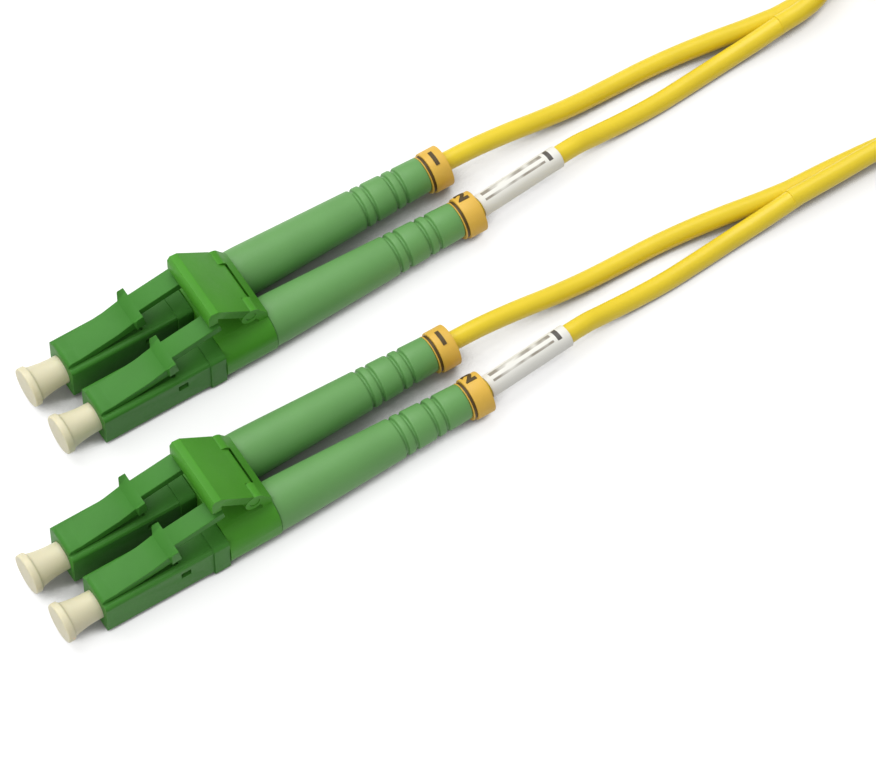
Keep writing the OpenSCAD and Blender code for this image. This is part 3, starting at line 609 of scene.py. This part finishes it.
def softened(node, name, rules):
    """A copy of a CAD node's shape with round edges. Each rule is a width and a test on an edge's
    middle and the edge itself; an edge takes the first rule that it passes."""
    bm = bmesh.new()
    bm.from_mesh(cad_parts[node].data)
    bmesh.ops.remove_doubles(bm, verts=bm.verts, dist=2e-7)
    bmesh.ops.dissolve_limit(bm, angle_limit=FLAT_ANGLE, verts=bm.verts, edges=bm.edges)
    chosen = {}
    for edge in bm.edges:
        if len(edge.link_faces) == 2 and edge.calc_face_angle(0) > EDGE_ANGLE:
            middle = (edge.verts[0].co + edge.verts[1].co) / 2
            for k, (width, test) in enumerate(rules):
                if test(middle, edge):
                    chosen.setdefault(k, []).append(edge)
                    break
    for k, edges in sorted(chosen.items()):
        edges = [e for e in edges if e.is_valid]
        bmesh.ops.bevel(bm, geom=edges, offset=rules[k][0], offset_type="OFFSET", affect="EDGES", segments=3,
                        profile=0.5, material=-1, clamp_overlap=True)
    bmesh.ops.remove_doubles(bm, verts=bm.verts, dist=2e-7)
    bmesh.ops.recalc_face_normals(bm, faces=bm.faces)
    return add_piece(name, bm)


housing_green = moulded("housing_green", HOUSING_GREEN, rough=0.48, grain=0.35, mottle=0.12, scale=800,
                        soft=0.05, shine=0.2)
for plug in PLUGS:
    node = f"housing_{plug}"
    low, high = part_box(node)
    boot_low, boot_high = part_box(f"boot_{plug}")
    axis = Vector((0, (low.y + high.y) / 2, boot_low.z / 2 + boot_high.z / 2))

    def front_edge(middle, edge):
        """An edge of the front face, outside the bore."""
        across = (middle - axis).yz.length
        return middle.x < low.x + FRONT_DEPTH and across > BORE_R and edge.calc_length() > FRONT_SHORTEST

    def long_edge(middle, edge):
        """A longer edge ahead of the tail."""
        return edge.calc_length() > SIDE_SHORTEST and middle.x < high.x - TAIL_LENGTH

    dress(softened(node, f"body_{plug}", [(FRONT_ROUND, front_edge), (EDGE_ROUND, long_edge)]), housing_green,
          stands_for=[node])


# ---------------------------------------------------------------- latches
# A springy arm grows out of the rounded nose of each housing and bends at its root. Its two ears
# lock behind the shoulders of the socket, and the trigger presses on its free end.
LATCH_ROOT = Vector((1.3, 0, 2.3)) * MM
LATCH_RISE = math.radians(10.5)
LATCH_LENGTH = 13.2 * MM
LATCH_W = 3.02 * MM
LATCH_T = 1.0 * MM
TAIL_W = 2.12 * MM
RAMP_UP = 1.1 * MM
RAMP_LENGTH = 3.0 * MM
RAMP_KNEE = (0.4, 0.3)
NOSE_FRONT = -0.02 * MM
NOSE_TOP = 2.82 * MM
NOSE_FOOT = 1.85 * MM
NOSE_ROUND = 0.5 * MM
BEND_FROM = 0.5 * MM
BEND_TO = 3.0 * MM
BEND_PARTS = 8
EAR_FROM = 6.45 * MM
EAR_TO = 7.55 * MM
EAR_OUT = 0.44 * MM
EAR_UP = 1.2 * MM
EAR_LEAN = 0.35 * MM
ARM_ROUND = 0.16 * MM
ARM_CRISP = math.radians(40)
FACING = 0.9

arm_ahead = Vector((math.cos(LATCH_RISE), 0, math.sin(LATCH_RISE)))
arm_up = Vector((-math.sin(LATCH_RISE), 0, math.cos(LATCH_RISE)))


def cut(bm, place, normal):
    """Cuts all of a mesh along a plane and keeps both sides."""
    bmesh.ops.bisect_plane(bm, geom=bm.verts[:] + bm.edges[:] + bm.faces[:], dist=1e-8, plane_co=place,
                           plane_no=normal)


def pull(bm, faces, step):
    """Draws faces out by a step and returns the vertices that moved."""
    drawn = bmesh.ops.extrude_face_region(bm, geom=faces)
    moved = [v for v in drawn["geom"] if isinstance(v, bmesh.types.BMVert)]
    bmesh.ops.translate(bm, vec=step, verts=moved)
    bmesh.ops.delete(bm, geom=[f for f in faces if f.is_valid], context="FACES_ONLY")
    bm.normal_update()
    return moved


def on_arm(place):
    """A place as the way along the arm and the height over its middle."""
    return (place - LATCH_ROOT).dot(arm_ahead), (place - LATCH_ROOT).dot(arm_up)


def end_faces(bm):
    """The faces that close the arm at its free end."""
    return [f for f in bm.faces if f.normal.dot(arm_ahead) > FACING and f.calc_center_median().x > BEND_TO]


for plug in PLUGS:
    low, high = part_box(f"housing_{plug}")
    boot_low, boot_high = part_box(f"boot_{plug}")
    middle_of_front = Vector((low.x, (low.y + high.y) / 2, (boot_low.z + boot_high.z) / 2))
    half = arm_up * LATCH_T / 2
    end = LATCH_ROOT + arm_ahead * EAR_TO
    top_start = LATCH_ROOT + half + arm_ahead * (NOSE_TOP - (LATCH_ROOT + half).z) / arm_ahead.z
    bm = bmesh.new()
    side_view = [Vector((NOSE_FRONT, 0, NOSE_FOOT)), Vector((NOSE_FRONT, 0, NOSE_TOP)), top_start,
                 end - arm_ahead * RAMP_LENGTH + half,
                 end - arm_ahead * RAMP_LENGTH * RAMP_KNEE[0] + arm_up * RAMP_UP * RAMP_KNEE[1] + half,
                 end + arm_up * RAMP_UP + half, end - half,
                 LATCH_ROOT - half]
    corners = [bm.verts.new(place - Vector((0, LATCH_W / 2, 0))) for place in side_view]
    bm.faces.new(corners)
    bmesh.ops.bevel(bm, geom=[corners[1]], offset=NOSE_ROUND, offset_type="OFFSET", affect="VERTICES",
                    segments=6, profile=0.5, material=-1)
    pull(bm, bm.faces[:], (0, LATCH_W, 0))
    bmesh.ops.contextual_create(bm, geom=[e for e in bm.edges if e.is_boundary])
    bmesh.ops.recalc_face_normals(bm, faces=bm.faces)
    cut(bm, LATCH_ROOT + arm_ahead * EAR_FROM, arm_ahead)
    cut(bm, LATCH_ROOT, arm_up)
    for k in range(1, BEND_PARTS):
        cut(bm, (BEND_FROM + (BEND_TO - BEND_FROM) * k / BEND_PARTS, 0, 0), (1, 0, 0))
    # ears, each with its top drawn level with the top of the ramp
    bm.normal_update()
    for out in (-1, 1):
        side = [f for f in bm.faces if f.normal.y * out > FACING
                and EAR_FROM < on_arm(f.calc_center_median())[0] < EAR_TO
                and on_arm(f.calc_center_median())[1] > 0]
        for vert in pull(bm, side, (0, out * EAR_OUT, 0)):
            along, up = on_arm(vert.co)
            if up > LATCH_T / 4:
                vert.co += arm_up * (LATCH_T / 2 + EAR_UP - up)
                vert.co += arm_ahead * (EAR_LEAN if along < EAR_FROM + EAR_LEAN else 0)
    # tail, drawn out of the top of the arm's end
    bm.normal_update()
    back = end_faces(bm)
    for place, normal in ((Vector((0, -TAIL_W / 2, 0)), (0, 1, 0)), (Vector((0, TAIL_W / 2, 0)), (0, 1, 0)),
                          (end + arm_up * (RAMP_UP - LATCH_T / 2), arm_up)):
        around = back + [e for f in back for e in f.edges] + [v for f in back for v in f.verts]
        bmesh.ops.bisect_plane(bm, geom=list(dict.fromkeys(around)), dist=1e-8, plane_co=place,
                               plane_no=normal)
        back = end_faces(bm)
    root_of_tail = [f for f in back if abs(f.calc_center_median().y) < TAIL_W / 2
                    and on_arm(f.calc_center_median())[1] > RAMP_UP - LATCH_T / 2]
    pull(bm, root_of_tail, arm_ahead * (LATCH_LENGTH - EAR_TO))
    bm.normal_update()
    crisp = [e for e in bm.edges if len(e.link_faces) == 2 and e.calc_face_angle(0) > ARM_CRISP]
    bmesh.ops.bevel(bm, geom=crisp, offset=ARM_ROUND, offset_type="OFFSET", affect="EDGES", segments=3,
                    profile=0.5, material=-1, clamp_overlap=True)
    bmesh.ops.remove_doubles(bm, verts=bm.verts, dist=1e-7)
    bmesh.ops.recalc_face_normals(bm, faces=bm.faces)
    bmesh.ops.translate(bm, vec=middle_of_front, verts=bm.verts)
    arm = add_piece(f"arm_{plug}", bm)
    dress(arm, housing_green, None, [f"latch_{plug}"])
    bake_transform(arm)


# ---------------------------------------------------------------- clips
# A green clip holds the two plugs of a pair side by side by their tails. A sloping strap behind
# it carries the trigger between two knuckles.
CLIP_GREEN = (0.066, 0.292, 0.019, 1)
CLIP_SHORTEST = 0.5 * MM


def clip_edge(middle, edge):
    """Any longer edge of a clip or a trigger."""
    return edge.calc_length() > CLIP_SHORTEST


clip_green = moulded("clip_green", CLIP_GREEN, rough=0.45, grain=0.35, mottle=0.12, scale=800, soft=0.05,
                     shine=0.25)
for end in ENDS:
    node = f"clip_body_{end}"
    dress(softened(node, f"clip_{end}", [(EDGE_ROUND, clip_edge)]), clip_green,
          stands_for=[node])


# ---------------------------------------------------------------- triggers
# The trigger is a sloping plate with a turned-down lip. It swings on two pins in the clip's
# knuckles, and its rib presses both latches down together.
TRIGGER_ROUND = 0.16 * MM
for end in ENDS:
    node = f"trigger_{end}"
    dress(softened(node, f"lever_{end}", [(TRIGGER_ROUND, clip_edge)]), clip_green,
          f"trigger_lever_{end}", [node])


# ---------------------------------------------------------------- dust caps
# A cream cap of soft polyethylene covers each ferrule. Its neck fits the bore of the housing, and
# its grip flares out to a thin disc.
CAP_CREAM = (0.71, 0.66, 0.46, 1)
CAP_NECK_R = 1.5 * MM
CAP_DISC_T = 0.75 * MM
CAP_FLARE_R = 1.85 * MM
CAP_IN = 2.9 * MM
CAP_HOLE_R = 0.66 * MM
CAP_HOLE_BACK = 1.5 * MM
CAP_HOLE_TIP = 1.9 * MM
CAP_DISC_EDGE = 0.12 * MM
CAP_FLARE_SHORT = 1.3 * MM
CAP_FLARE_STEPS = 6
CAP_ROUND = 0.13 * MM

cap_cream = moulded("cap_cream", CAP_CREAM, rough=0.45, grain=0.2, mottle=0.05, scale=600, soft=0.35)
for plug in PLUGS:
    low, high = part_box(f"dust_cap_{plug}")
    face_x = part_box(f"housing_{plug}")[0].x
    grip, disc_r = face_x - low.x, (high.z - low.z) / 2
    profile = [(0, 0), (0, disc_r), (CAP_DISC_T, disc_r), (CAP_DISC_T + CAP_DISC_EDGE, CAP_FLARE_R)]
    for k in range(1, CAP_FLARE_STEPS + 1):
        t = k / CAP_FLARE_STEPS
        profile.append((CAP_DISC_T + CAP_DISC_EDGE + (grip - CAP_FLARE_SHORT) * t,
                        CAP_NECK_R + (CAP_FLARE_R - CAP_NECK_R) * (1 - t) ** 2))
    profile += [(grip + CAP_IN, CAP_NECK_R), (grip + CAP_IN, CAP_HOLE_R), (grip - CAP_HOLE_BACK, CAP_HOLE_R),
                (grip - CAP_HOLE_TIP, 0)]
    centre = front_middle(low, high)
    dress(turned_piece(f"cap_{plug}_cream", centre, profile, CAP_ROUND), cap_cream,
          f"cap_{plug}", [f"dust_cap_{plug}"])


# ---------------------------------------------------------------- ferrules and metal inside
# Each ferrule is white zirconia, pressed into a nickel-plated collar that floats on the spring.
# The rear body and the crimp sleeve over its barb are nickel-plated brass, hidden by the boot.
NICKEL = (0.60, 0.58, 0.53, 1)
ZIRCONIA = (0.86, 0.86, 0.84, 1)
BUFFER_WHITE = (0.82, 0.82, 0.80, 1)

nickel = moulded("nickel", NICKEL, rough=0.28, grain=0.25, mottle=0.06, scale=1500, metal=1.0)
zirconia = moulded("zirconia", ZIRCONIA, rough=0.16, grain=0.05, mottle=0.03, scale=1500, soft=0.1)
buffer_white = moulded("buffer_white", BUFFER_WHITE, rough=0.4, grain=0.2, mottle=0.04)
for plug in PLUGS:
    for kind, material in (("ferrule", zirconia), ("flange", nickel), ("rear_body", nickel),
                           ("crimp_sleeve", nickel), ("fibre", buffer_white)):
        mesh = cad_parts[f"{kind}_{plug}"].data
        mesh.materials.clear()
        mesh.materials.append(material)


# ---------------------------------------------------------------- springs
# A steel compression spring behind each collar pushes the ferrule forward. Its coils lie a little
# closer at both ends and in the middle.
WIRE_D = 0.34 * MM
WIRE_STEPS = 24
SPRING_TURNS = 6
SPRING_CROWD = 0.045
SPRING_STEEL = (0.50, 0.49, 0.47, 1)

steel = moulded("spring_steel", SPRING_STEEL, rough=0.25, grain=0.15, mottle=0.05, scale=1500, metal=1.0)
for plug in PLUGS:
    low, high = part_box(f"spring_{plug}")
    centre_y, centre_z = (low.y + high.y) / 2, (low.z + high.z) / 2
    coil_mid_r = (high.y - low.y - WIRE_D) / 2
    span = high.x - low.x - WIRE_D
    wire = []
    for k in range(SPRING_TURNS * WIRE_STEPS + 1):
        t = k / (SPRING_TURNS * WIRE_STEPS)
        along = t - SPRING_CROWD * math.sin(4 * math.pi * t) / 2
        turn = 2 * math.pi * SPRING_TURNS * t
        wire.append(Vector((low.x + WIRE_D / 2 + span * along, centre_y + coil_mid_r * math.cos(turn),
                            centre_z + coil_mid_r * math.sin(turn))))
    spring = dress(tube(f"spring_wire_{plug}", wire, WIRE_D), steel,
                   stands_for=[f"spring_{plug}"])
    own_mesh(spring)


# ---------------------------------------------------------------- stage and light
# A white table under soft, even light from above. It looks white and throws back less light than it
# shows, so the undersides of the pieces stay dark. Its glow is dimmed by ambient occlusion, a painted shade
# that makes it go dark in the cracks between pieces.
TABLE_SEEN = 0.42
TABLE_GLOW = 0.68
TABLE_BOUNCE = 0.5
# reach and limits of the painted crack shade that dims the table's glow
CRACK_REACH = 0.006
CRACK_OPENNESS = (0.33, 0.50)
CRACK_GLOW = 0.0
ROOM_LIGHT = 0.48
LAMP_AIM = Vector((0.01, 0, 0))
FLOOR_HALF = 3
LAMPS = (("key", (-0.05, 0.30, 0.55), 0.6, 3.3), ("front", (-0.45, -0.15, 0.50), 0.7, 1.4))

floor_bm = bmesh.new()
bmesh.ops.create_grid(floor_bm, x_segments=1, y_segments=1, size=FLOOR_HALF)
floor = add_piece("floor", floor_bm)
white = bpy.data.materials.new("white_table")
white.use_nodes = True
tree = white.node_tree
tree.nodes.remove(tree.nodes["Principled BSDF"])
rays = tree.nodes.new("ShaderNodeLightPath")
seen = rays.outputs["Is Camera Ray"]
for ray in ("Is Glossy Ray", "Is Transmission Ray"):
    either = tree.nodes.new("ShaderNodeMath")
    either.operation = "MAXIMUM"
    tree.links.new(seen, either.inputs[0])
    tree.links.new(rays.outputs[ray], either.inputs[1])
    seen = either.outputs["Value"]
shown = tree.nodes.new("ShaderNodeAddShader")
choice = tree.nodes.new("ShaderNodeMixShader")
for shade, socket in ((TABLE_BOUNCE, choice.inputs[1]), (TABLE_SEEN, shown.inputs[0])):
    diffuse = tree.nodes.new("ShaderNodeBsdfDiffuse")
    diffuse.inputs["Color"].default_value = (shade, shade, shade, 1)
    tree.links.new(diffuse.outputs["BSDF"], socket)
glow = tree.nodes.new("ShaderNodeEmission")
# painted shade: ambient occlusion dims the glow in narrow cracks, so they look shaded
shade_openness = tree.nodes.new("ShaderNodeAmbientOcclusion")
shade_openness.inputs["Distance"].default_value = CRACK_REACH
painted_crack_shade = tree.nodes.new("ShaderNodeMapRange")
painted_crack_shade.interpolation_type = "SMOOTHSTEP"
limits = CRACK_OPENNESS + (CRACK_GLOW, TABLE_GLOW)
for name, value in zip(("From Min", "From Max", "To Min", "To Max"), limits):
    painted_crack_shade.inputs[name].default_value = value
tree.links.new(shade_openness.outputs["AO"], painted_crack_shade.inputs["Value"])
tree.links.new(painted_crack_shade.outputs["Result"], glow.inputs["Strength"])
tree.links.new(glow.outputs["Emission"], shown.inputs[1])
tree.links.new(shown.outputs["Shader"], choice.inputs[2])
tree.links.new(seen, choice.inputs["Fac"])
tree.links.new(choice.outputs["Shader"], tree.nodes["Material Output"].inputs["Surface"])
floor.data.materials.append(white)

world = bpy.data.worlds.new("room")
bpy.context.scene.world = world
world.use_nodes = True
sky = world.node_tree.nodes["Background"]
sky.inputs["Color"].default_value = (1, 1, 1, 1)
sky.inputs["Strength"].default_value = ROOM_LIGHT

for name, place, size, watts in LAMPS:
    lamp = bpy.data.lights.new(name, "AREA")
    lamp.size = size
    lamp.energy = watts
    holder = bpy.data.objects.new(name, lamp)
    holder.location = place
    holder.rotation_euler = (LAMP_AIM - Vector(place)).to_track_quat("-Z", "Y").to_euler()
    bpy.context.scene.collection.objects.link(holder)

bpy.context.scene.view_settings.view_transform = "Standard"
